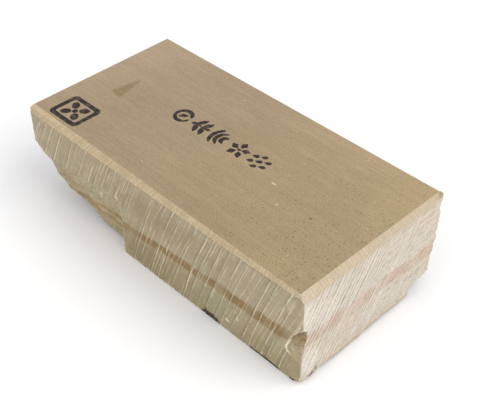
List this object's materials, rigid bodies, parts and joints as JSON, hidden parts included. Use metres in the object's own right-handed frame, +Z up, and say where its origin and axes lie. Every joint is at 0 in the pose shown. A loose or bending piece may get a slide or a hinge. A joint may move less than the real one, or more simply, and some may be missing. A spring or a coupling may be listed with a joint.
{
  "type": "sharpening whetstone",
  "caption": "Thick natural bench whetstone: a sawn block with a chamfered flat working face, a broken lower edge and plain ink marks.",
  "frame": {"origin": "middle of the block's footprint, on the surface that it rests on", "axes": "+X along the block to its near end, away from the seal; +Y to its back, away from the wide long chamfer; +Z up through the working face"},
  "size_m": [0.205, 0.101, 0.06],
  "materials": {
    "stone": "fine-grained tan sedimentary stone, rubbed flat on top and sawn on the sides",
    "ink": "black ink soaked into the pores of the stone, matt"
  },
  "bodies": {
    "root": {"stone_block": "stone", "ink_ring": "ink", "ink_sprig": "ink", "ink_ripples": "ink", "ink_flower": "ink", "ink_drops": "ink", "ink_seal": "ink"}
  },
  "joints": []
}
